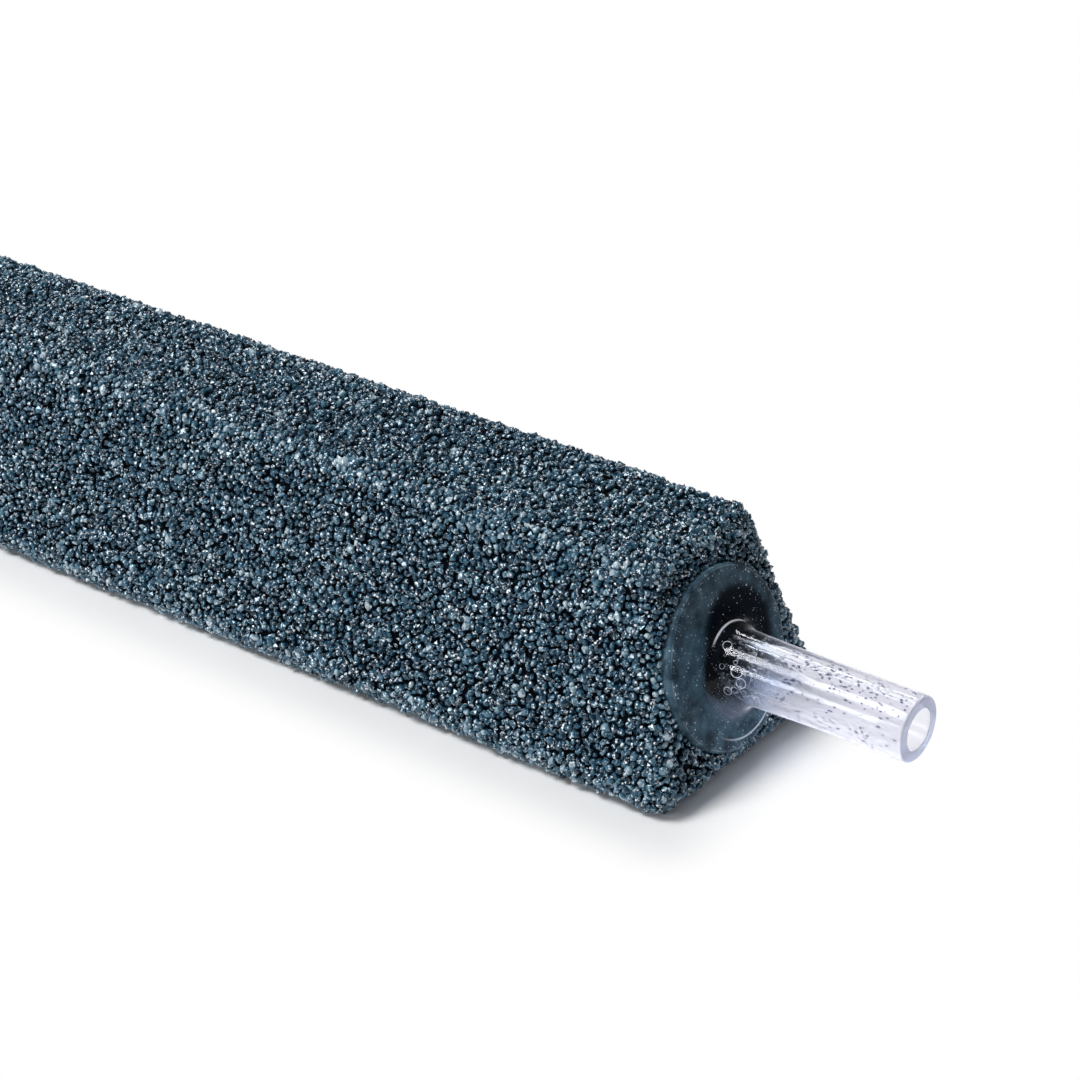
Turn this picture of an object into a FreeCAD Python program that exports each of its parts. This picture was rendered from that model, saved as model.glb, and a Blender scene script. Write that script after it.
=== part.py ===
import FreeCAD, Part
import math
import os

import Sketcher
from FreeCAD import Placement, Rotation, Vector

# Air stone bar: a moulded bar of bonded mineral grit with a blind air channel along its middle,
# and a clear moulded nozzle whose flange is let into one leaning end of the bar.
# Millimetres. +Z is up and +X runs along the bar towards the nozzle. The origin is on the base,
# under the middle of the whole object's box.

doc = FreeCAD.newDocument("air_stone_bar")
sizes = doc.addObject("Spreadsheet::Sheet", "sizes")

# The driving sizes: name, value and what it measures.
DRIVING_SIZES = [
    ("bar_length", 150.0, "bar length along its base, before the edges are rounded"),
    ("base_width", 23.0, "bar width at its base, before the edges are rounded"),
    ("bar_height", 18.0, "bar height"),
    ("mould_draft", 15.0, "lean of all four walls, in degrees"),
    ("edge_radius", 2.0, "rounding of every edge of the bar"),
    ("channel_end_wall", 9.0, "grit left between the air channel and the far end"),
    ("stem_height", 9.0, "stem axis above the base"),
    ("stem_offset", -0.8, "stem axis from the middle of the width, forward is negative"),
    ("stem_reach", 16.5, "stem tip from the end of the bar, along the stem axis"),
    ("stem_diameter", 5.0, "outside of the straight outer part of the stem"),
    ("stem_straight", 7.5, "straight outer part of the stem, which holds the air line"),
    ("root_diameter", 5.4, "outside of the stem at the flange, and of the spigot behind it"),
    ("stem_tip_rounding", 0.25, "rounding of the outer edge at the tip"),
    ("bore_diameter", 3.2, "air bore through the nozzle"),
    ("flange_diameter", 14.0, "outside of the flange"),
    ("flange_proud", 0.5, "rim of the flange above the end of the bar"),
    ("flange_sunk", 1.0, "flange let into the end of the bar"),
    ("rim_width", 0.9, "flat rim round the dished face of the flange"),
    ("rim_rounding", 0.35, "rounding of the outer edge of the rim"),
    ("dish_depth", 0.4, "dished face below the rim, at its middle"),
    ("flare_radius", 2.2, "hollow of the flare between the flange and the stem"),
    ("spigot_length", 8.0, "spigot from the end of the bar, along the stem axis"),
    ("glue_gap", 0.1, "film of glue round the flange and the spigot"),
]

# Sizes that follow from the ones above.
DERIVED_SIZES = [
    ("end_setback", "=stem_height * tan(mould_draft * 1 deg)", "lean of the end, base to stem axis"),
    ("nozzle_overhang", "=stem_reach - end_setback", "stem tip beyond the base of the bar"),
    ("rounding_loss", "=edge_radius * (tan(mould_draft * 1 deg) + 1 / cos(mould_draft * 1 deg) - 1)",
     "length that the rounded edge takes off one end of the base"),
    ("bar_shift", "=(nozzle_overhang + rounding_loss) / 2",
     "middle of the whole object from the middle of the bar"),
    ("taper_setback", "=root_diameter / 2 * tan(mould_draft * 1 deg)",
     "start of the stem's taper behind the end of the bar, hidden in the leaning flange"),
]

for row, (name, value, meaning) in enumerate(DRIVING_SIZES + DERIVED_SIZES, start=1):
    sizes.set(f"A{row}", meaning)
    sizes.set(f"B{row}", str(value))
    sizes.setAlias(f"B{row}", name)
doc.recompute()


def new_body(name):
    body = doc.addObject("PartDesign::Body", name)
    body.Label = name
    return body


def origin_plane(body, role):
    """One of the body's own XY, XZ or YZ planes."""
    return next(plane for plane in body.Origin.OriginFeatures if plane.Role == role)


def new_sketch(body, name, role, placing=None):
    """A sketch on one of the body's planes; placing binds its attachment offset to the sizes."""
    sketch = body.newObject("Sketcher::SketchObject", name)
    sketch.AttachmentSupport = [(origin_plane(body, role), "")]
    sketch.MapMode = "FlatFace"
    sketch.AttachmentOffset = Placement(Vector(0, 0, 0), Rotation(Vector(0, 0, 1), 0))
    for prop, formula in (placing or {}).items():
        sketch.setExpression(f"AttachmentOffset.{prop}", formula)
    doc.recompute()
    return sketch


def value_of(formula):
    """The present value of a formula that uses the sheet's names."""
    return float(sizes.evalExpression(formula))


def bind(sketch, constraint, formula):
    """Adds a dimension to the sketch and ties it to the sheet."""
    number = sketch.addConstraint(constraint)
    sketch.setExpression(f"Constraints[{number}]", formula)


def draw_profile(sketch, corners):
    """A closed outline of straight lines. Each corner is a pair of formulas, across and up from
    the sketch's origin; "0" puts the corner on the axis itself."""
    points = [Vector(value_of(across), value_of(up), 0) for across, up in corners]
    count = len(points)
    for index in range(count):
        sketch.addGeometry(Part.LineSegment(points[index], points[(index + 1) % count]), False)
    for index in range(count):
        sketch.addConstraint(Sketcher.Constraint("Coincident", index, 2, (index + 1) % count, 1))
    for index, (across, up) in enumerate(corners):
        point = points[index]
        if across == "0":
            sketch.addConstraint(Sketcher.Constraint("PointOnObject", index, 1, -2))
        else:
            bind(sketch, Sketcher.Constraint("DistanceX", -1, 1, index, 1, point.x), across)
        if up == "0":
            sketch.addConstraint(Sketcher.Constraint("PointOnObject", index, 1, -1))
        else:
            bind(sketch, Sketcher.Constraint("DistanceY", -1, 1, index, 1, point.y), up)
    doc.recompute()


def draw_circle(sketch, across, up, diameter):
    """A circle; across and up place its centre as in draw_profile."""
    centre = Vector(value_of(across), value_of(up), 0)
    sketch.addGeometry(Part.Circle(centre, Vector(0, 0, 1), value_of(diameter) / 2), False)
    for kind, line, formula, value in (
        ("DistanceX", -2, across, centre.x),
        ("DistanceY", -1, up, centre.y),
    ):
        if formula == "0":
            sketch.addConstraint(Sketcher.Constraint("PointOnObject", 0, 3, line))
        else:
            bind(sketch, Sketcher.Constraint(kind, -1, 1, 0, 3, value), formula)
    bind(sketch, Sketcher.Constraint("Diameter", 0, value_of(diameter)), diameter)
    doc.recompute()


def turned(body, kind, name, sketch):
    """A full turn of a sketch about its own horizontal axis, added or cut away."""
    feature = body.newObject(kind, name)
    feature.Profile = sketch
    feature.ReferenceAxis = (sketch, ["H_Axis"])
    feature.Angle = 360
    doc.recompute()
    return feature


def rounded(body, name, base, edges, radius):
    """A fillet of the named edges, its radius tied to the sheet."""
    feature = body.newObject("PartDesign::Fillet", name)
    feature.Base = (base, edges)
    feature.setExpression("Radius", radius)
    doc.recompute()
    return feature


def edges_where(shape, test):
    """Names of the shape's edges for which every sampled point passes the test."""
    names = []
    for number, edge in enumerate(shape.Edges, start=1):
        if all(test(point) for point in edge.discretize(9)):
            names.append(f"Edge{number}")
    return names


# Grit bar
# Pressed into a tapered tray, so its two sides and both ends lean in towards the top by the same
# draft. The body's own origin is the middle of the base.
bar = new_body("stone_bar")

base_outline = new_sketch(bar, "base_outline", "XY_Plane")
draw_profile(base_outline, [
    ("-sizes.bar_length / 2", "-sizes.base_width / 2"),
    ("sizes.bar_length / 2", "-sizes.base_width / 2"),
    ("sizes.bar_length / 2", "sizes.base_width / 2"),
    ("-sizes.bar_length / 2", "sizes.base_width / 2"),
])
pressed_block = bar.newObject("PartDesign::Pad", "pressed_block")
pressed_block.Profile = base_outline
pressed_block.setExpression("Length", "sizes.bar_height")
pressed_block.setExpression("TaperAngle", "-sizes.mould_draft")
doc.recompute()

soft_edges = bar.newObject("PartDesign::Fillet", "soft_edges")
soft_edges.Base = (pressed_block, ["Face1"])
soft_edges.UseAllEdges = True
soft_edges.setExpression("Radius", "sizes.edge_radius")
doc.recompute()

# The air channel is left by a core pin: it starts at its blind end and runs out at the nozzle.
channel_circle = new_sketch(bar, "channel_circle", "YZ_Plane", {
    "Base.z": "-(sizes.bar_length / 2 - sizes.end_setback - sizes.channel_end_wall)",
})
draw_circle(channel_circle, "sizes.stem_offset", "sizes.stem_height",
            "sizes.root_diameter + 2 * sizes.glue_gap")
air_channel = bar.newObject("PartDesign::Pocket", "air_channel")
air_channel.Profile = channel_circle
air_channel.Type = "ThroughAll"
air_channel.Reversed = True
doc.recompute()

# The flange's seat is turned about the normal of the leaning end, so its floor is parallel to
# that end. Its profile runs out past the rounded edges of the bar.
flange_seat_profile = new_sketch(bar, "flange_seat_profile", "XZ_Plane", {
    "Base.x": "sizes.bar_length / 2 - sizes.end_setback",
    "Base.y": "sizes.stem_height",
    "Base.z": "-sizes.stem_offset",
    "Rotation.Angle": "sizes.mould_draft",
})
draw_profile(flange_seat_profile, [
    ("-sizes.flange_sunk", "0"),
    ("sizes.flange_proud", "0"),
    ("sizes.flange_proud", "sizes.flange_diameter / 2 + sizes.glue_gap"),
    ("-sizes.flange_sunk", "sizes.flange_diameter / 2 + sizes.glue_gap"),
])
flange_seat = turned(bar, "PartDesign::Groove", "flange_seat", flange_seat_profile)
bar.setExpression("Placement.Base.x", "-sizes.bar_shift")

# Nozzle
# One clear moulding: a flange that leans with the end of the bar, a level stem that flares into
# it, and a spigot glued into the channel. The outer part of the stem is straight, and the rest
# widens a little to the flange. The body's own origin is where the stem axis meets the end of the
# bar, and the stem runs along X.
nozzle = new_body("air_nozzle")

flange_profile = new_sketch(nozzle, "flange_profile", "XZ_Plane", {
    "Rotation.Angle": "sizes.mould_draft",
})
draw_profile(flange_profile, [
    ("-sizes.flange_sunk", "0"),
    ("sizes.flange_proud - sizes.dish_depth", "0"),
    ("sizes.flange_proud", "sizes.flange_diameter / 2 - sizes.rim_width"),
    ("sizes.flange_proud", "sizes.flange_diameter / 2"),
    ("-sizes.flange_sunk", "sizes.flange_diameter / 2"),
])
flange = turned(nozzle, "PartDesign::Revolution", "flange", flange_profile)

stem_profile = new_sketch(nozzle, "stem_profile", "XZ_Plane")
draw_profile(stem_profile, [
    ("-sizes.spigot_length", "0"),
    ("sizes.stem_reach", "0"),
    ("sizes.stem_reach", "sizes.stem_diameter / 2"),
    ("sizes.stem_reach - sizes.stem_straight", "sizes.stem_diameter / 2"),
    ("-sizes.taper_setback", "sizes.root_diameter / 2"),
    ("-sizes.spigot_length", "sizes.root_diameter / 2"),
])
stem = turned(nozzle, "PartDesign::Revolution", "stem", stem_profile)

# The flare is a constant hollow between the level stem and the leaning flange, so it reaches
# further down the flange than up it.
root_radius = value_of("sizes.root_diameter / 2")
stem_radius = value_of("sizes.stem_diameter / 2")
taper_start = value_of("-sizes.taper_setback")
taper_end = value_of("sizes.stem_reach - sizes.stem_straight")
flange_front = value_of("sizes.flange_proud")
lean = math.radians(value_of("sizes.mould_draft"))
NEAR = 0.05


def height_over_end(point):
    """How far a point stands out from the plane of the bar's end."""
    return point.x * math.cos(lean) + point.z * math.sin(lean)


def on_stem_root(point):
    along_taper = (point.x - taper_start) / (taper_end - taper_start)
    radius = root_radius + along_taper * (stem_radius - root_radius)
    beside_stem = abs(math.hypot(point.y, point.z) - radius) < NEAR
    return beside_stem and -NEAR < height_over_end(point) < flange_front + NEAR


def on_outer_rim(point):
    radius = value_of("sizes.flange_diameter / 2")
    out = height_over_end(point)
    up = point.z * math.cos(lean) - point.x * math.sin(lean)
    return abs(math.hypot(point.y, up) - radius) < NEAR and abs(out - flange_front) < NEAR


def on_tip_edge(point):
    at_tip = abs(point.x - value_of("sizes.stem_reach")) < NEAR
    return at_tip and abs(math.hypot(point.y, point.z) - stem_radius) < NEAR


flare = rounded(nozzle, "flare", stem, edges_where(stem.Shape, on_stem_root), "sizes.flare_radius")
soft_rim = rounded(nozzle, "soft_rim", flare, edges_where(flare.Shape, on_outer_rim),
                   "sizes.rim_rounding")
soft_tip = rounded(nozzle, "soft_tip", soft_rim, edges_where(soft_rim.Shape, on_tip_edge),
                   "sizes.stem_tip_rounding")

bore_circle = new_sketch(nozzle, "bore_circle", "YZ_Plane", {"Base.z": "-sizes.spigot_length"})
draw_circle(bore_circle, "0", "0", "sizes.bore_diameter")
air_bore = nozzle.newObject("PartDesign::Pocket", "air_bore")
air_bore.Profile = bore_circle
air_bore.Type = "ThroughAll"
air_bore.Reversed = True
doc.recompute()

nozzle.setExpression("Placement.Base.x",
                     "sizes.bar_length / 2 - sizes.end_setback - sizes.bar_shift")
nozzle.setExpression("Placement.Base.y", "sizes.stem_offset")
nozzle.setExpression("Placement.Base.z", "sizes.stem_height")
doc.recompute()

# Every feature has to have built, and each cut has to have taken something away.
for item in doc.Objects:
    if "Invalid" in item.State or "Error" in item.State:
        raise RuntimeError(f"{item.Name} did not build")
for cut, before in ((air_channel, soft_edges), (flange_seat, air_channel), (air_bore, soft_tip)):
    if cut.Shape.Volume >= before.Shape.Volume - 1:
        raise RuntimeError(f"{cut.Name} cuts nothing")
for body in (bar, nozzle):
    if body.Shape.isNull() or not body.Shape.isValid() or len(body.Shape.Solids) != 1:
        raise RuntimeError(f"{body.Label} is not one sound solid")

os.makedirs("parts", exist_ok=True)
for body in (bar, nozzle):
    body.Shape.exportStep(f"parts/{body.Label}.step")
    box = body.Shape.BoundBox
    print(f"{body.Label}: {body.Shape.Volume:.1f} mm3, x {box.XMin:.2f} to {box.XMax:.2f}, "
          f"y {box.YMin:.2f} to {box.YMax:.2f}, z {box.ZMin:.2f} to {box.ZMax:.2f}")
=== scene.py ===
import math

import bmesh
import bpy
import numpy as np
from mathutils import Matrix, Vector, noise
from mathutils.bvhtree import BVHTree
from mathutils.kdtree import KDTree


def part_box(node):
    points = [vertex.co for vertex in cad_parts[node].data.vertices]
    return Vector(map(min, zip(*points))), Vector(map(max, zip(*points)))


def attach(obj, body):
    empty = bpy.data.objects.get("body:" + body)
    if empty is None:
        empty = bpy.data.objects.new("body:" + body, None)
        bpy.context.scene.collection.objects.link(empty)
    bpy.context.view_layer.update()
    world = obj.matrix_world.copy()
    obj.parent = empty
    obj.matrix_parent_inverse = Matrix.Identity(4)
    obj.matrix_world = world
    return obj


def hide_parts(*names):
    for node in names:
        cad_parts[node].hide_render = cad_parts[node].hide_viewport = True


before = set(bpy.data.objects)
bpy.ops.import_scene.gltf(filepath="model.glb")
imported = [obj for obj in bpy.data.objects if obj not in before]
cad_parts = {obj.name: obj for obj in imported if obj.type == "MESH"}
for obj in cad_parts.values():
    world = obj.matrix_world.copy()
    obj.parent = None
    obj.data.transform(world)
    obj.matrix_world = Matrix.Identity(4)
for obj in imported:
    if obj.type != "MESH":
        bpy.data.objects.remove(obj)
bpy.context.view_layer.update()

# Inside of the bar
# The bonded grit under its outermost grains, which shows only as the dark of the gaps between
# them; its near-black colour is painted shade. It is one pressing with those grains, and it has
# the air channel and the flange's seat.
MM = 0.001
GRIT_SKIN = 0.42 * MM
CHANNEL_RADIUS = 2.8 * MM
CHANNEL_FROM_FAR_END = 8 * MM
SEAT_RADIUS = 7.1 * MM
SEAT_DEPTH = 1.0 * MM
SEAT_RIM = 0.1 * MM
STEM_REACH = 16.5 * MM
STEM_FORWARD = 0.8 * MM
STEM_HEIGHT = 9 * MM
MOULD_LEAN = math.radians(15)
nozzle_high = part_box("air_nozzle")[1]
bar_low, bar_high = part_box("stone_bar")
NOZZLE_FOOT = Vector((nozzle_high.x - STEM_REACH, -STEM_FORWARD, STEM_HEIGHT))
OUT_OF_END = Vector((math.cos(MOULD_LEAN), 0, math.sin(MOULD_LEAN)))


def from_flange(point):
    """How far a point stands out from the leaning end, and its distance from the flange's axis."""
    out = (point - NOZZLE_FOOT).dot(OUT_OF_END)
    return out, (point - NOZZLE_FOOT - out * OUT_OF_END).length


def in_hollow(point):
    """Whether a point is on the wall of the air channel or of the flange's seat, edges included."""
    near = 0.03 * MM
    out, aside = from_flange(point)
    off_channel = math.hypot(point.y - NOZZLE_FOOT.y, point.z - NOZZLE_FOOT.z)
    in_seat = aside < SEAT_RADIUS + near and out > -SEAT_DEPTH - near
    along_channel = bar_low.x + CHANNEL_FROM_FAR_END < point.x < NOZZLE_FOOT.x
    return in_seat or (along_channel and off_channel < CHANNEL_RADIUS + near)


bar_shape = bmesh.new()
bar_shape.from_mesh(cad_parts["stone_bar"].data)
bmesh.ops.remove_doubles(bar_shape, verts=bar_shape.verts, dist=0.001 * MM)
bar_shape.normal_update()

skin_corners = []
for face in bar_shape.faces:
    if not all(in_hollow(vert.co) for vert in face.verts):
        skin_corners.append([list(vert.co) for vert in face.verts])
skin_corners = np.array(skin_corners)

# The skin goes down by the depth of its grains, and the rim of the flange's seat goes with it.
lowered = []
for vert in bar_shape.verts:
    out, aside = from_flange(vert.co)
    on_seat_rim = aside > SEAT_RADIUS - SEAT_RIM and out > -0.9 * SEAT_DEPTH
    if not in_hollow(vert.co):
        lowered.append((vert, vert.normal * GRIT_SKIN))
    elif on_seat_rim:
        lowered.append((vert, OUT_OF_END * GRIT_SKIN))
for vert, depth in lowered:
    vert.co -= depth


def finished_piece(name, shape, material):
    """Turns a bmesh into a piece that rides on the object's one body."""
    mesh = bpy.data.meshes.new(name)
    shape.to_mesh(mesh)
    shape.free()
    mesh.shade_smooth()
    return placed_piece(name, mesh, material)


def placed_piece(name, mesh, material):
    """Makes the piece of a mesh, and says its body."""
    mesh.materials.append(material)
    piece = bpy.data.objects.new(name, mesh)
    bpy.context.scene.collection.objects.link(piece)
    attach(piece, "root")
    return piece


class Level:
    """A value, colour or shader that a node gives. Arithmetic on values adds Math nodes."""

    def __init__(self, finish, socket):
        self.finish = finish
        self.socket = socket

    def maths(self, operation, first, second):
        """The value that one Math node works out."""
        return self.finish.add("ShaderNodeMath", {"operation": operation}, {0: first, 1: second})

    def __add__(self, other):
        return self.maths("ADD", self, other)

    def __radd__(self, other):
        return self.maths("ADD", other, self)

    def __sub__(self, other):
        return self.maths("SUBTRACT", self, other)

    def __rsub__(self, other):
        return self.maths("SUBTRACT", other, self)

    def __mul__(self, other):
        return self.maths("MULTIPLY", self, other)

    def __rmul__(self, other):
        return self.maths("MULTIPLY", other, self)

    def power(self, exponent):
        return self.maths("POWER", self, exponent)

    def blend(self, first, second):
        """A shader that goes from the first to the second as this value goes from 0 to 1."""
        return self.finish.add("ShaderNodeMixShader", {}, {0: self, 1: first, 2: second})

    def between(self, low, high):
        """0 below low, 1 above high and smooth from one to the other."""
        return self.finish.add(
            "ShaderNodeMapRange",
            {"interpolation_type": "SMOOTHSTEP"},
            {"Value": self, "From Min": low, "From Max": high},
        )

    def within(self, low, full_from, full_to, high):
        """1 inside a band and smooth to 0 at its two edges."""
        return self.between(low, full_from) * (1 - self.between(full_to, high))


class Finish:
    """A material or the world while its nodes are put together."""

    def __init__(self, owner):
        owner.use_nodes = True
        self.owner = owner
        self.tree = owner.node_tree
        self.tree.nodes.clear()

    def add(self, kind, settings=None, inputs=None, output=0):
        """Adds a node, then its settings, then the values or links of its sockets."""
        node = self.tree.nodes.new(kind)
        for name, value in (settings or {}).items():
            if name == "stops":
                while len(node.color_ramp.elements) < len(value):
                    node.color_ramp.elements.new(0.5)
                for stop, (place, colour) in zip(node.color_ramp.elements, value):
                    stop.position = place
                    stop.color = (*colour, 1)
            else:
                setattr(node, name, value)
        for name, value in (inputs or {}).items():
            socket = node.inputs[name]
            if isinstance(value, Level):
                self.tree.links.new(value.socket, socket)
            elif socket.type == "RGBA":
                socket.default_value = (*value, 1)
            else:
                socket.default_value = value
        return Level(self, node.outputs[output])

    def place(self):
        """A place in the object's own frame, in metres."""
        return self.add("ShaderNodeTexCoord", output="Object")

    def close(self, kind, **inputs):
        """Adds the output node, and gives back the finished material or world."""
        node = self.tree.nodes.new(kind)
        for name, value in inputs.items():
            self.tree.links.new(value.socket, node.inputs[name])
        return self.owner


def pore_shade_grit():
    """Deep grit, painted almost black as shade, with painted light on the tops of lower grains."""
    finish = Finish(bpy.data.materials.new("pore_shade_grit"))
    place = finish.place()
    cells = finish.add("ShaderNodeTexVoronoi", {"feature": "F1"},
                       {"Vector": place, "Scale": 1500.0, "Randomness": 1.0})
    # Painted shade, a touch paler in the middle of each cell as painted light on a lower grain's
    # top.
    colour = finish.add("ShaderNodeValToRGB", {"stops": [
        (0.0, (0.002, 0.006, 0.011)),
        (0.55, (0.0005, 0.001, 0.002)),
    ]}, {"Fac": cells})
    bump = finish.add("ShaderNodeBump", {}, {
        "Strength": 1.0, "Distance": 0.3 * MM, "Height": 1 - cells})
    surface = finish.add("ShaderNodeBsdfPrincipled", {}, {
        "Base Color": colour, "Roughness": 0.6, "Specular IOR Level": 0.02, "Normal": bump})
    return finish.close("ShaderNodeOutputMaterial", Surface=surface)


core = finished_piece("grit_core", bar_shape, pore_shade_grit())
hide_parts("stone_bar")

# Grains
# Rounded mineral grains, most of them a little over half a millimetre across, glazed and fired
# together. They touch and leave pores between them, and are paler on worn edges and coarser under
# the bar.
SEED = 20
draw = np.random.default_rng(SEED)
first, second, third = skin_corners.transpose(1, 0, 2)
skin_sides = np.cross(second - first, third - first)
skin_areas = np.linalg.norm(skin_sides, axis=1) / 2
skin_normals = skin_sides / (2 * skin_areas[:, None])
FLAT_SIDES = np.array([
    (0, 0, 1), (0, 0, -1),
    (0, math.cos(MOULD_LEAN), math.sin(MOULD_LEAN)),
    (0, -math.cos(MOULD_LEAN), math.sin(MOULD_LEAN)),
    (math.cos(MOULD_LEAN), 0, math.sin(MOULD_LEAN)),
    (-math.cos(MOULD_LEAN), 0, math.sin(MOULD_LEAN)),
])
ALIKE_ON_A_FLAT = 0.985
FACING_DOWN = -0.9
skin_on_edge = (skin_normals @ FLAT_SIDES.T).max(axis=1) < ALIKE_ON_A_FLAT
skin_under = skin_normals[:, 2] < FACING_DOWN
skin_tree = BVHTree.FromPolygons(
    skin_corners.reshape(-1, 3).tolist(),
    np.arange(3 * len(skin_corners)).reshape(-1, 3).tolist())

PACKING = 1.02
GRAIN_MEAN, GRAIN_SPREAD = 0.57 * MM, 0.13 * MM
GRAIN_LEAST, GRAIN_MOST = 0.36 * MM, 1.02 * MM
COARSER_UNDER = 1.3
EVEN_STEP_ALONG, EVEN_STEP_ACROSS = 0.7548776662, 0.5698402910
JITTER = 0.25 * MM
BARE_RADIUS = 7.0 * MM
BARE_SHARE_OF_GRAIN = 0.62
BEHIND_THE_END = 2 * MM
SHAKES, PUSHES_EACH = 10, 4
LEAST_APART = 0.01 * MM
DEEPEST_SINK = 0.28 * MM
FLANGE_NEIGHBOURS = 7.9 * MM
NEIGHBOURS_BACK_TO = 3 * MM
NEIGHBOURS_PROUD = 0.10 * MM


def places_on_skin(count):
    """Places spread evenly over the skin, each then moved a little at random."""
    numbers = np.arange(count)
    shares = np.cumsum(grains_due) / grains_due.sum()
    chosen = np.searchsorted(shares, (numbers + 0.5) / count)
    along = numbers * EVEN_STEP_ALONG % 1
    across = numbers * EVEN_STEP_ACROSS % 1
    folded = along + across > 1
    along[folded] = 1 - along[folded]
    across[folded] = 1 - across[folded]
    first, second, third = skin_corners[chosen].transpose(1, 0, 2)
    even = first + along[:, None] * (second - first) + across[:, None] * (third - first)
    return even + draw.normal(size=(count, 3)) * JITTER


def back_on_skin(spots, sizes):
    """The nearest places on the skin, clear of the flange, and the triangle that each is on."""
    out = (spots - np.array(NOZZLE_FOOT)) @ np.array(OUT_OF_END)
    beside = spots - np.array(NOZZLE_FOOT) - out[:, None] * np.array(OUT_OF_END)
    aside = np.linalg.norm(beside, axis=1)
    least = BARE_RADIUS + BARE_SHARE_OF_GRAIN * sizes
    inside = (aside < least) & (out > -BEHIND_THE_END)
    spots[inside] += beside[inside] * ((least - aside) / aside)[inside][:, None]
    found = [skin_tree.find_nearest(spot) for spot in spots.tolist()]
    return np.array([place[0] for place in found]), np.array([place[2] for place in found])


def near_pairs(spots, reach):
    """The numbers of every two grains whose middles lie within reach of each other."""
    tree = KDTree(len(spots))
    for number, spot in enumerate(spots.tolist()):
        tree.insert(spot, number)
    tree.balance()
    return np.array([
        (number, other)
        for number, spot in enumerate(spots.tolist())
        for place, other, distance in tree.find_range(spot, reach)
        if other > number
    ]).T


def shaken_down(spots, sizes):
    """Shakes grains along the skin until they lie side by side."""
    for shake in range(SHAKES):
        first, second = near_pairs(spots, 2 * sizes.max())
        for push in range(PUSHES_EACH):
            apart = spots[first] - spots[second]
            distance = np.linalg.norm(apart, axis=1)
            overlap = np.clip(sizes[first] + sizes[second] - distance, 0, None)
            step = apart * (0.5 * overlap / np.maximum(distance, LEAST_APART))[:, None]
            np.add.at(spots, first, step)
            np.add.at(spots, second, -step)
            spots, skins = back_on_skin(spots, sizes)
    return spots, skins


grain_area = math.pi * (GRAIN_MEAN ** 2 + GRAIN_SPREAD ** 2) / 4
grains_due = PACKING * skin_areas / grain_area
grains_due[skin_under] /= COARSER_UNDER ** 2
count = int(grains_due.sum())
radii = np.clip(draw.normal(GRAIN_MEAN, GRAIN_SPREAD, count), GRAIN_LEAST, GRAIN_MOST) / 2
spots, skins = back_on_skin(places_on_skin(count), radii)
radii[skin_under[skins]] *= COARSER_UNDER
spots, skins = shaken_down(spots, radii)
sinks = draw.random(count) ** 1.5 * DEEPEST_SINK
beside_flange = np.array([
    from_flange(Vector(spot))[1] < FLANGE_NEIGHBOURS for spot in spots.tolist()])
at_this_end = spots[:, 0] > NOZZLE_FOOT.x - NEIGHBOURS_BACK_TO
sinks[beside_flange & at_this_end] = -NEIGHBOURS_PROUD
centres = spots - skin_normals[skins] * (radii + sinks)[:, None]

GRAIN_SWELL, GRAIN_LUMPINESS = 1.08, 0.70
LUMPS_IN_RADIUS = 1.6
APART_IN_NOISE = 3.7


def grain_shape(coarse, number):
    """One lumpy grain with a radius of about 1, as points and faces."""
    shape = bmesh.new()
    if coarse:
        bmesh.ops.create_cube(shape, size=2)
        bmesh.ops.subdivide_edges(shape, edges=shape.edges[:], cuts=1, use_grid_fill=True)
    else:
        bmesh.ops.create_icosphere(shape, subdivisions=1, radius=1)
    for vert in shape.verts:
        vert.co.normalize()
        lump = noise.noise(vert.co * LUMPS_IN_RADIUS + Vector((APART_IN_NOISE * number, 0, 0)))
        vert.co *= GRAIN_SWELL + GRAIN_LUMPINESS * lump
    bmesh.ops.recalc_face_normals(shape, faces=shape.faces[:])
    shape.verts.index_update()
    points = np.array([vert.co[:] for vert in shape.verts])
    faces = np.array([[vert.index for vert in face.verts] for face in shape.faces])
    shape.free()
    return points, faces


turns = draw.normal(size=(count, 4))
turns /= np.linalg.norm(turns, axis=1)[:, None]
w, x, y, z = turns.T
turned = np.array([
    [1 - 2 * (y * y + z * z), 2 * (x * y - z * w), 2 * (x * z + y * w)],
    [2 * (x * y + z * w), 1 - 2 * (x * x + z * z), 2 * (y * z - x * w)],
    [2 * (x * z - y * w), 2 * (y * z + x * w), 1 - 2 * (x * x + y * y)],
]).transpose(2, 0, 1)
FLATTEST, LONGEST = 0.66, 1.22
squash = draw.uniform(FLATTEST, LONGEST, size=(count, 3))
BROKEN_SHARE = 0.5
broken = draw.random(count) < BROKEN_SHARE
on_edge = skin_on_edge[skins]
TONE_MEAN, TONE_SPREAD, TONE_MOST = 0.42, 0.20, 0.85
WORN_PALER = 0.12
tones = np.clip(draw.normal(TONE_MEAN, TONE_SPREAD, count) + WORN_PALER * on_edge, 0, TONE_MOST)
PALE_SHARE, PALE_SHARE_WORN = 0.02, 0.07
PALE_RADIUS_MOST = 0.33 * MM
pale = (draw.random(count) < PALE_SHARE + PALE_SHARE_WORN * on_edge) & (
    (radii < PALE_RADIUS_MOST) | on_edge)
PALEST_FROM, PALEST_TO = 0.78, 0.95
tones[pale] = draw.uniform(PALEST_FROM, PALEST_TO, pale.sum())
COARSE_RADIUS = 0.40 * MM
coarse_grain = (radii > COARSE_RADIUS) & ~skin_under[skins]
outwards = skin_normals[skins]
# Painted shade: each grain is darkened down its sides towards the gaps and lightened on its top.
PAINTED_SIDE_SHADE = 0.30
SHAPES_EACH = 10
shape_of = draw.integers(0, SHAPES_EACH, count)
grain_shapes = {(coarse, number): grain_shape(coarse, number)
                for coarse in (True, False) for number in range(SHAPES_EACH)}


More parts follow.
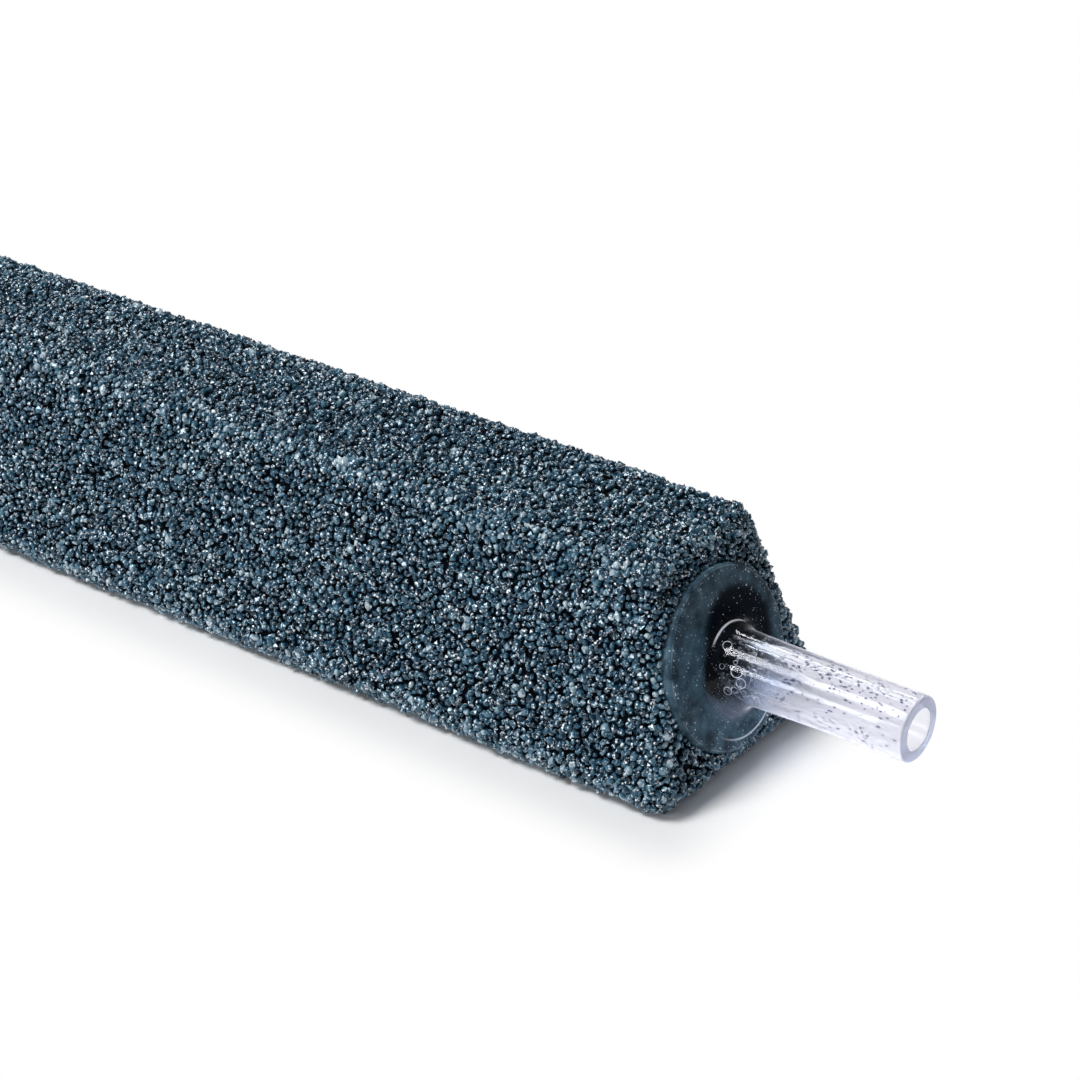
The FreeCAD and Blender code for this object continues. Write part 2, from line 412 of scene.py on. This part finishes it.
def grains_as_mesh(name, picked):
    """One mesh of the picked grains, each a copy of a grain shape with its own turn and size."""
    points, faces, shades, smooth, begun = [], [], [], [], 0
    for (coarse, number), (shape_points, shape_faces) in grain_shapes.items():
        same = picked & (coarse_grain == coarse) & (shape_of == number)
        copies = int(same.sum())
        own = shape_points[None] * squash[same][:, None] * radii[same][:, None, None]
        own = np.einsum("gij,gpj->gpi", turned[same], own)
        raised = np.einsum("gpi,gi->gp", own, outwards[same]) / radii[same][:, None]
        own = own + centres[same][:, None]
        # The base is struck off level, so no grain reaches below it.
        own[..., 2] = np.maximum(own[..., 2], 0)
        step = np.arange(copies) * len(shape_points) + begun
        points.append(own.reshape(-1, 3))
        numbered = shape_faces[None] + step[:, None, None]
        faces += numbered.reshape(-1, shape_faces.shape[1]).tolist()
        # Each grain's own tone, plus painted shade: lighter at its top, darker down its sides.
        shades.append((tones[same][:, None] + PAINTED_SIDE_SHADE * (raised - 0.5)).ravel())
        smooth.append(np.repeat(~broken[same], len(shape_faces)))
        begun += copies * len(shape_points)
    mesh = bpy.data.meshes.new(name)
    mesh.from_pydata(np.concatenate(points), [], faces)
    mesh.polygons.foreach_set("use_smooth", np.concatenate(smooth))
    shade = mesh.attributes.new("grain_tone", "FLOAT", "POINT")
    shade.data.foreach_set("value", np.concatenate(shades).astype(np.float32))
    return mesh


def glazed_grit():
    """Coated grains, navy and slate, a few pale, own tones, a glassy skin, painted shade and
    glints.
    """
    finish = Finish(bpy.data.materials.new("glazed_grit"))
    place = finish.place()
    tone = finish.add("ShaderNodeAttribute", {"attribute_name": "grain_tone"}, output="Fac")
    mottle = finish.add("ShaderNodeTexNoise", {}, {
        "Vector": place, "Scale": 3600.0, "Detail": 3.0, "Roughness": 0.65})
    colour = finish.add("ShaderNodeValToRGB", {"stops": [
        (0.00, (0.002, 0.008, 0.017)),
        (0.30, (0.003, 0.024, 0.050)),
        (0.58, (0.013, 0.064, 0.112)),
        (0.82, (0.080, 0.176, 0.246)),
        (1.00, (0.440, 0.530, 0.590)),
    ]}, {"Fac": tone + 0.80 * (mottle - 0.5)})
    # Pale contour lines over the grains: a crackled texture, and partly painted sheen.
    wave = finish.add("ShaderNodeTexNoise", {}, {
        "Vector": place, "Scale": 1900.0, "Detail": 1.0, "Roughness": 0.5}) - 0.5
    crackle_and_sheen = (1 - (wave * wave).between(0.0001, 0.0016)) * mottle.between(0.40, 0.62)
    colour = finish.add("ShaderNodeMix", {"data_type": "RGBA"}, {
        0: 0.75 * crackle_and_sheen, 6: colour, 7: (0.22, 0.37, 0.49)}, 2)
    # Painted glints: thin white streaks along the contours and white dots, standing in for
    # highlights.
    glint_streak = (1 - (wave * wave).between(0.00005, 0.0007)) * mottle.between(0.52, 0.60)
    dots = {"Vector": place, "Scale": 2700.0, "Randomness": 1.0}
    off_dot = finish.add("ShaderNodeTexVoronoi", {"feature": "F1"}, dots)
    of_dot = finish.add("ShaderNodeTexVoronoi", {"feature": "F1"}, dots, "Color")
    brightness = finish.add("ShaderNodeSeparateColor", {}, {"Color": of_dot}, "Red")
    painted_glint = (1 - off_dot.between(0.18, 0.30)) * brightness.between(0.20, 0.70)
    # The painted glints are mixed into the colour as near-white.
    colour = finish.add("ShaderNodeMix", {"data_type": "RGBA"}, {
        0: painted_glint + glint_streak, 6: colour, 7: (0.95, 0.97, 1.0)}, 2)
    grain = finish.add("ShaderNodeTexNoise", {}, {
        "Vector": place, "Scale": 3200.0, "Detail": 1.0, "Roughness": 0.5})
    bump = finish.add("ShaderNodeBump", {}, {
        "Strength": 0.45, "Distance": 0.14 * MM, "Height": grain})
    surface = finish.add("ShaderNodeBsdfPrincipled", {}, {
        "Base Color": colour, "Roughness": 0.08 + 0.20 * mottle, "IOR": 1.6,
        "Specular IOR Level": 0.65, "Specular Tint": (0.72, 0.90, 1.0), "Normal": bump})
    return finish.close("ShaderNodeOutputMaterial", Surface=surface)


LENGTHS = 6
grit_finish = glazed_grit()
cuts = np.quantile(centres[:, 0], np.linspace(0, 1, LENGTHS + 1))
cuts[-1] += 1
for length in range(LENGTHS):
    name = f"grit_length_{length + 1}"
    picked = (centres[:, 0] >= cuts[length]) & (centres[:, 0] < cuts[length + 1])
    placed_piece(name, grains_as_mesh(name, picked), grit_finish)

# Nozzle
# One clear soft vinyl moulding: a stem with a bore, a flare, a dished flange that leans with the
# end of the bar, and a spigot. It is glued into the seat and the channel.
# Its own sizes are in millimetres from the foot of the stem.
AROUND = 96
VINYL_IOR = 1.52
STEM_TIP = STEM_REACH / MM
STEM_RADIUS = 2.5
ROOT_RADIUS = 2.7
BORE_RADIUS = 1.6
STEM_STRAIGHT_FROM = 9.0
TIP_ROUNDING = 0.25
SPIGOT_END = -8.0
FLANGE_RADIUS = 7.0
FLANGE_PROUD = 0.5
FLANGE_BACK = -0.97
RIM_INNER = 6.1
RIM_ROUNDING = 0.35
DISH_DEPTH = 0.4
FLARE_RADIUS = 2.2
FLARE_STEPS = 14
FLARE_LEAVES_FROM = -3.0

angles = np.linspace(0, 2 * math.pi, AROUND, endpoint=False)
end_out = np.array(OUT_OF_END)
end_up = np.array((-math.sin(MOULD_LEAN), 0, math.cos(MOULD_LEAN)))
across = np.array((0.0, 1.0, 0.0))
off_stem = np.stack([0 * angles, np.cos(angles), np.sin(angles)], axis=1)
off_flange = np.cos(angles)[:, None] * across + np.sin(angles)[:, None] * end_up
along_stem = np.array((1.0, 0, 0))


def stem_ring(along, radius):
    """A ring about the stem."""
    return along_stem * along + off_stem * radius


def flange_ring(out, radius):
    """A ring about the flange's own leaning axis."""
    return end_out * out + off_flange * radius


def rounded_edge(ring_at, out, radius, rounding):
    """Rings over a rounded edge, from the face that it ends to the side of its radius."""
    turns = [math.radians(degrees) for degrees in (0, 22.5, 45, 67.5, 90)]
    return [ring_at(out - rounding * (1 - math.cos(turn)), radius - rounding * (1 - math.sin(turn)))
            for turn in turns]


taper_from = -ROOT_RADIUS * math.tan(MOULD_LEAN)
taper = (ROOT_RADIUS - STEM_RADIUS) / (STEM_STRAIGHT_FROM - taper_from)
taper_angle = math.atan(taper)
dish_slope = DISH_DEPTH / RIM_INNER
dish_angle = math.atan(dish_slope)
off_taper = off_stem * math.cos(taper_angle) + np.array((math.sin(taper_angle), 0, 0))


def flare_centres(along):
    """The flare's hollow at each angle, if it leaves the stem at these places along it.

    Gives its start on the stem, its middle, the way from the dish to its middle, and how high
    its middle is over the dish.
    """
    radius = ROOT_RADIUS - (along - taper_from) * taper
    root = along_stem * along[:, None] + off_stem * radius[:, None]
    centre = root + FLARE_RADIUS * off_taper
    out = centre @ end_out
    beside = centre - out[:, None] * end_out
    aside = np.linalg.norm(beside, axis=1)
    off_dish = end_out * math.cos(dish_angle) - (
        beside / aside[:, None]) * math.sin(dish_angle)
    above_dish = (out - (FLANGE_PROUD - DISH_DEPTH) - dish_slope * aside) * math.cos(dish_angle)
    return root, centre, off_dish, above_dish


# Halving finds where the flare has to leave the stem at each angle so that it just meets the dish.
low, high = np.full(AROUND, FLARE_LEAVES_FROM), np.full(AROUND, STEM_STRAIGHT_FROM)
for halving in range(40):
    middle = (low + high) / 2
    too_high = flare_centres(middle)[3] > FLARE_RADIUS
    high = np.where(too_high, middle, high)
    low = np.where(too_high, low, middle)
flare_root, flare_centre, off_dish = flare_centres((low + high) / 2)[:3]
flare_foot = flare_centre - FLARE_RADIUS * off_dish
opening = np.arccos((off_taper * off_dish).sum(axis=1))[:, None]

rings = [stem_ring(STEM_TIP, BORE_RADIUS)]
rings += rounded_edge(stem_ring, STEM_TIP, STEM_RADIUS, TIP_ROUNDING)
for along in (14.0, 11.5, STEM_STRAIGHT_FROM):
    rings.append(stem_ring(along, STEM_RADIUS))
for part in (0.33, 0.66):
    rings.append(stem_ring(STEM_STRAIGHT_FROM, STEM_RADIUS) * (1 - part) + flare_root * part)
for step in range(FLARE_STEPS + 1):
    part = step / FLARE_STEPS
    rings.append(flare_centre - FLARE_RADIUS * (
        np.sin((1 - part) * opening) * off_taper + np.sin(part * opening) * off_dish
    ) / np.sin(opening))
for part in (0.35, 0.7, 1.0):
    rings.append(flare_foot * (1 - part) + flange_ring(FLANGE_PROUD, RIM_INNER) * part)
rings += rounded_edge(flange_ring, FLANGE_PROUD, FLANGE_RADIUS, RIM_ROUNDING)
rings.append(flange_ring(FLANGE_BACK, FLANGE_RADIUS))
spigot_foot = stem_ring(0, ROOT_RADIUS)
spigot_foot[:, 0] = (FLANGE_BACK - spigot_foot[:, 2] * math.sin(MOULD_LEAN)) / math.cos(MOULD_LEAN)
rings.append(spigot_foot)
rings.append(stem_ring(SPIGOT_END, ROOT_RADIUS))
for along in (SPIGOT_END, -2.0, 4.0, 10.0):
    rings.append(stem_ring(along, BORE_RADIUS))

nozzle_shape = bmesh.new()
order = nozzle_shape.verts.layers.int.new("place_in_ring")
first_ring = bmesh.ops.create_circle(nozzle_shape, segments=AROUND, radius=1)["verts"]
for number, vert in enumerate(first_ring):
    vert[order] = number


def set_ring(verts, ring):
    """Puts each vertex of a loop at its own place in the ring."""
    for vert in verts:
        vert.co = NOZZLE_FOOT + Vector(ring[vert[order]]) * MM


set_ring(first_ring, rings[0])
first_edges = nozzle_shape.edges[:]
edges = first_edges
for ring in rings[1:]:
    made = bmesh.ops.extrude_edge_only(nozzle_shape, edges=edges)["geom"]
    set_ring([item for item in made if isinstance(item, bmesh.types.BMVert)], ring)
    edges = [item for item in made if isinstance(item, bmesh.types.BMEdge)]
bmesh.ops.bridge_loops(nozzle_shape, edges=first_edges + edges)
bmesh.ops.recalc_face_normals(nozzle_shape, faces=nozzle_shape.faces[:])


def clear_vinyl():
    """Clear soft vinyl, faintly lavender through its length, satin on the flange."""
    finish = Finish(bpy.data.materials.new("clear_vinyl"))
    place = finish.place()
    along = finish.add("ShaderNodeSeparateXYZ", {}, {"Vector": place}, "X")
    height = finish.add("ShaderNodeSeparateXYZ", {}, {"Vector": place}, "Z")
    out = ((along - NOZZLE_FOOT.x) * math.cos(MOULD_LEAN)
           + (height - NOZZLE_FOOT.z) * math.sin(MOULD_LEAN))
    beside = finish.add("ShaderNodeSeparateXYZ", {}, {"Vector": place}, "Y") - NOZZLE_FOOT.y
    up = ((height - NOZZLE_FOOT.z) * math.cos(MOULD_LEAN)
          - (along - NOZZLE_FOOT.x) * math.sin(MOULD_LEAN))
    aside = (beside * beside + up * up).power(0.5)
    on_flange = 1 - out.between(0.55 * MM, 0.95 * MM)
    on_tip = along.between(nozzle_high.x - 0.12 * MM, nozzle_high.x - 0.04 * MM)
    ripple = finish.add("ShaderNodeTexNoise", {}, {
        "Vector": place, "Scale": 420.0, "Detail": 2.0, "Roughness": 0.5})
    bump = finish.add("ShaderNodeBump", {}, {
        "Strength": 0.25, "Distance": 0.2 * MM, "Height": ripple})
    past_flare = along.between(NOZZLE_FOOT.x + 3.0 * MM, NOZZLE_FOOT.x + 6.5 * MM)
    bent_thick, bent_thin = [finish.add("ShaderNodeBsdfRefraction", {}, {
        "Color": tint, "Roughness": 0.0, "IOR": VINYL_IOR, "Normal": bump})
        for tint in ((0.91, 0.94, 0.98), (0.985, 0.985, 0.995))]
    mirrored = finish.add("ShaderNodeFresnel", {}, {"IOR": VINYL_IOR, "Normal": bump})
    soft_shine, full_shine = [finish.add("ShaderNodeBsdfGlossy", {}, {
        "Color": gleam, "Roughness": 0.07, "Normal": bump})
        for gleam in ((0.42, 0.43, 0.45), (1, 1, 1))]
    glass = mirrored.blend(
        past_flare.blend(bent_thick, bent_thin),
        mirrored.between(0.10, 0.60).blend(soft_shine, full_shine))
    # Painted shade where the flare overhangs the glued face; a hazy slate film on the flange round
    # it.
    right, above = beside - 1.5 * MM, up - 0.9 * MM
    outer = (right * right + above * above).power(0.5).between(3.5 * MM, 4.5 * MM)
    haze = finish.add("ShaderNodeTexNoise", {}, {
        "Vector": place, "Scale": 700.0, "Detail": 3.0, "Roughness": 0.6})
    film = finish.add("ShaderNodeMix", {"data_type": "RGBA"}, {
        0: outer * (0.15 + 0.85 * haze.between(0.25, 0.70)),
        6: (0.004, 0.009, 0.016), 7: (0.078, 0.150, 0.210)}, 2)
    dots = finish.add("ShaderNodeTexNoise", {}, {
        "Vector": place, "Scale": 6200.0, "Detail": 1.0, "Roughness": 0.5})
    near_rim = aside.within(6.3 * MM, 6.6 * MM, 6.7 * MM, 6.85 * MM)
    specked = (dots + 0.07 * near_rim + 0.28 * (haze - 0.5)).between(0.71, 0.75)
    # Painted highlights: a thin pale line on the rounded rim, and one on the flare's foot at lower
    # right.
    rim_highlight = aside.within(6.74 * MM, 6.78 * MM, 6.82 * MM, 6.87 * MM) * haze.between(0.35, 0.60)
    crease_beside, crease_up = beside - 0.4 * MM, up + 1.4 * MM
    crease = (crease_beside * crease_beside + crease_up * crease_up).power(0.5)
    low_right = (1 - up.between(-5.4 * MM, -4.2 * MM)) * beside.between(-3.2 * MM, -0.6 * MM)
    foot_highlight = crease.within(4.78 * MM, 4.85 * MM, 4.92 * MM, 5.00 * MM) * low_right
    # Pale specks in the flange, and the painted highlights, laid over the film.
    film = finish.add("ShaderNodeMix", {"data_type": "RGBA"}, {
        0: specked + 0.8 * foot_highlight + 0.16 * rim_highlight, 6: film, 7: (0.78, 0.86, 0.94)}, 2)
    satin = finish.add("ShaderNodeBsdfPrincipled", {}, {
        "Base Color": film, "Roughness": 0.34 + 0.15 * ripple,
        "Specular IOR Level": 0.06, "Normal": bump})
    # Painted shade: a near-black diffuse takes over the film inside the overhang.
    dark = finish.add("ShaderNodeBsdfDiffuse", {}, {"Color": (0.004, 0.008, 0.014)})
    satin = (0.3 + 0.7 * outer + specked).blend(dark, satin)
    cloud_along, cloud_on_tip = [finish.add("ShaderNodeBsdfTranslucent", {}, {"Color": cloud})
                                 for cloud in ((0.95, 0.95, 1.0), (0.32, 0.34, 0.41))]
    cloudy = on_tip.blend(cloud_along, cloud_on_tip)
    edge = finish.add("ShaderNodeLayerWeight", {}, {"Blend": 0.5}, "Facing")
    # Painted highlight: a pale diffuse at grazing angles stands in for the vinyl's bright edge
    # reflection.
    painted_glare = finish.add("ShaderNodeBsdfDiffuse", {}, {"Color": (0.90, 0.92, 1.0)})
    under = 1 - up.between(-3.0 * MM, -1.4 * MM)
    cloud_share = past_flare * (0.18 + 0.12 * edge * edge) + 0.10 * under + 0.46 * on_tip
    body = cloud_share.blend(glass, cloudy)
    # A painted highlight for the lamp's thin bow over the top of the flare, and the flare's pale
    # body under the stem.
    over_stem = up.between(1.8 * MM, 2.5 * MM) * (1 - beside.between(2.4 * MM, 3.0 * MM))
    on_bow = out.within(0.95 * MM, 1.00 * MM, 1.06 * MM, 1.11 * MM) * over_stem
    veil = finish.add("ShaderNodeBsdfDiffuse", {}, {"Color": (0.48, 0.66, 1.0)})
    veiled = 0.12 * (1 - up.between(-2.6 * MM, -1.0 * MM)) * (1 - past_flare)
    body = (edge.power(9.0) + 0.8 * on_bow).blend(veiled.blend(body, veil), painted_glare)
    body = (0.98 * on_flange).blend(body, satin)
    lamp_through = finish.add("ShaderNodeBsdfTransparent", {}, {"Color": (0.92, 0.93, 0.96)})
    from_lamp = finish.add("ShaderNodeLightPath", output="Is Shadow Ray")
    surface = from_lamp.blend(body, lamp_through)
    depth = finish.add("ShaderNodeVolumeAbsorption", {}, {
        "Color": (0.59, 0.61, 0.71), "Density": 100.0})
    return finish.close("ShaderNodeOutputMaterial", Surface=surface, Volume=depth)


nozzle = finished_piece("clear_nozzle", nozzle_shape, clear_vinyl())
nozzle.data.set_sharp_from_angle(angle=math.radians(40))
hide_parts("air_nozzle")

# Bubbles
# Air that stayed in the vinyl as it was moulded: drawn-out specks in the wall of the stem, thickest
# near its root, rounder beads at the root, and ten larger bubbles by the flare.
bubble_shape = bmesh.new()
SPECKS, BEADS = 460, 60
LARGE_BUBBLES = (
    (2.6, 160, 0.42), (3.1, 178, 0.36), (1.1, 122, 0.34), (2.5, 197, 0.25), (1.8, 206, 0.30),
    (2.3, 145, 0.15), (3.9, 150, 0.20), (1.3, 160, 0.20), (3.4, 120, 0.18), (4.4, 200, 0.22))


def add_bubble(along, degrees, deep, radius, stretch, fineness):
    """One bubble in the wall, longer along the stem by its stretch. 90 degrees is up."""
    turn = math.radians(degrees)
    middle = Vector((along, deep * math.cos(turn), deep * math.sin(turn)))
    size = Matrix.Diagonal((radius * stretch * MM, radius * MM, radius * MM, 1))
    bmesh.ops.create_icosphere(
        bubble_shape, subdivisions=fineness, radius=1,
        matrix=Matrix.Translation(NOZZLE_FOOT + middle * MM) @ size)


for number in range(SPECKS):
    along = 3.0 + 13.0 * draw.random() ** 1.8
    degrees = draw.uniform(50, 240) if number % 3 else draw.uniform(80, 140)
    deep = draw.uniform(BORE_RADIUS + 0.3, STEM_RADIUS - 0.10)
    add_bubble(along, degrees, deep, draw.uniform(0.045, 0.085), draw.uniform(1.1, 2.6), 1)
for number in range(BEADS):
    along = draw.uniform(0.7, 4.0)
    degrees = draw.uniform(80, 250)
    deep = draw.uniform(BORE_RADIUS + 0.25, ROOT_RADIUS - 0.15)
    add_bubble(along, degrees, deep, draw.uniform(0.06, 0.14), draw.uniform(0.9, 1.3), 2)
for along, degrees, radius in LARGE_BUBBLES:
    add_bubble(along, degrees, BORE_RADIUS + 0.62, radius, 1.15, 3)


def trapped_air():
    """Edge-on bubbles: rims painted bright as reflections by the bar's dark end, dark along the
    stem.
    """
    finish = Finish(bpy.data.materials.new("trapped_air"))
    place = finish.place()
    along = finish.add("ShaderNodeSeparateXYZ", {}, {"Vector": place}, "X")
    wobble = finish.add("ShaderNodeTexNoise", {}, {
        "Vector": place, "Scale": 3000.0, "Detail": 1.0, "Roughness": 0.5})
    far = along.between(NOZZLE_FOOT.x + 4.0 * MM, NOZZLE_FOOT.x + 6.5 * MM)
    # Painted light: white rims for reflections, dark blue rims where the bubbles bend light away.
    near_rim, far_rim = [finish.add("ShaderNodeBsdfDiffuse", {}, {"Color": colour})
                         for colour in ((0.95, 0.97, 1.0), (0.015, 0.028, 0.110))]
    clear = finish.add("ShaderNodeBsdfTransparent", {}, {"Color": (0.97, 0.98, 1.0)})
    facing = finish.add("ShaderNodeLayerWeight", {}, {"Blend": 0.5}, "Facing")
    rim_share = facing.between(0.30, 0.80) * (0.15 + 1.2 * wobble.between(0.40, 0.60))
    air = (rim_share + 0.85 * far).blend(clear, far.blend(near_rim, far_rim))
    from_lamp = finish.add("ShaderNodeLightPath", output="Is Shadow Ray")
    surface = from_lamp.blend(air, clear)
    return finish.close("ShaderNodeOutputMaterial", Surface=surface)


finished_piece("vinyl_bubbles", bubble_shape, trapped_air())

# Stage
# A plain pale floor that fades into a white surround, soft studio lamps and the camera. The
# floor keeps the bar's shadow.
FLOOR_HALF_WIDTH = 3
floor_shape = bmesh.new()
bmesh.ops.create_grid(floor_shape, x_segments=1, y_segments=1, size=FLOOR_HALF_WIDTH)
floor_mesh = bpy.data.meshes.new("floor")
floor_shape.to_mesh(floor_mesh)
floor_shape.free()
floor = bpy.data.objects.new("floor", floor_mesh)
bpy.context.scene.collection.objects.link(floor)


def seen_white(finish):
    """1 for rays that see the surround directly or through the vinyl, else 0."""
    camera = finish.add("ShaderNodeLightPath", output="Is Camera Ray")
    through = finish.add("ShaderNodeLightPath", output="Is Transmission Ray")
    return (camera + through).between(0.0, 1.0)


SHADOW_REACH = 6 * MM


def pale_floor():
    """White to the camera, but for the shadow close round the bar."""
    finish = Finish(bpy.data.materials.new("pale_floor"))
    place = finish.place()
    grain = finish.add("ShaderNodeTexNoise", {}, {"Vector": place, "Scale": 60.0, "Detail": 2.0})
    paler, deeper = [finish.add("ShaderNodeBsdfDiffuse", {}, {"Color": colour})
                     for colour in ((0.96, 0.96, 0.965), (0.94, 0.94, 0.945))]
    white = finish.add("ShaderNodeEmission", {}, {"Color": (1, 1, 1), "Strength": 1.0})
    across_bar = finish.add("ShaderNodeVectorMath", {"operation": "SUBTRACT"}, {
        0: place, 1: (bar_low + bar_high) / 2})
    across_bar = finish.add("ShaderNodeVectorMath", {"operation": "ABSOLUTE"}, {0: across_bar})
    beyond = finish.add("ShaderNodeVectorMath", {"operation": "SUBTRACT"}, {
        0: across_bar, 1: (bar_high - bar_low) / 2})
    beyond = finish.add("ShaderNodeVectorMath", {"operation": "MAXIMUM"}, {
        0: beyond, 1: (0.0, 0.0, 0.0)})
    away = finish.add("ShaderNodeVectorMath", {"operation": "LENGTH"}, {0: beyond}, "Value")
    fade = away.between(0.0, SHADOW_REACH) * seen_white(finish)
    surface = fade.blend(grain.blend(deeper, paler), white)
    return finish.close("ShaderNodeOutputMaterial", Surface=surface)


floor_mesh.materials.append(pale_floor())

world = bpy.data.worlds.new("studio")
bpy.context.scene.world = world
surround = Finish(world)
ROOM_LEVEL = 0.14
room_light = surround.add("ShaderNodeBackground", {}, {
    "Color": (0.97, 0.985, 1.0), "Strength": ROOM_LEVEL})
seen = surround.add("ShaderNodeBackground", {}, {"Color": (1, 1, 1), "Strength": 1.0})
surround.close("ShaderNodeOutputWorld", Surface=seen_white(surround).blend(room_light, seen))

LIT_PLACE = Vector((0.03, 0, 0.01))
LAMP_DISTANCE = 1.0


def soft_lamp(name, direction, width, height, watts):
    """A rectangular softbox that faces the nozzle end of the bar."""
    lamp = bpy.data.lights.new(name, "AREA")
    lamp.shape = "RECTANGLE"
    lamp.size = width
    lamp.size_y = height
    lamp.energy = watts
    holder = bpy.data.objects.new(name, lamp)
    bpy.context.scene.collection.objects.link(holder)
    towards = Vector(direction).normalized()
    facing = towards.to_track_quat("Z", "Y").to_matrix().to_4x4()
    holder.matrix_world = Matrix.Translation(LIT_PLACE + towards * LAMP_DISTANCE) @ facing


soft_lamp("key", (-0.30, -0.45, 0.84), 0.36, 0.36, 8.0)
soft_lamp("top", (-0.40, 0.62, 0.67), 0.40, 0.12, 2.2)
soft_lamp("side", (-0.45, -0.86, 0.24), 0.20, 0.20, 2.5)

CAMERA_PLACE = Vector((0.16978, -0.15598, 0.12278))
RIGHT = Vector((0.793099, 0.608882, -0.015982))
FORWARD = Vector((-0.538438, 0.688593, -0.48572)).normalized()
UP = RIGHT.cross(FORWARD).normalized()
RIGHT = FORWARD.cross(UP)
view = bpy.data.cameras.new("view")
view.lens = 100
view.sensor_width = 36
view.clip_start = 0.01
view.clip_end = 20
camera = bpy.data.objects.new("view", view)
bpy.context.scene.collection.objects.link(camera)
camera.matrix_world = Matrix.Translation(CAMERA_PLACE) @ Matrix(
    (RIGHT, UP, -FORWARD)).transposed().to_4x4()
bpy.context.scene.camera = camera
bpy.context.scene.view_settings.view_transform = "Standard"
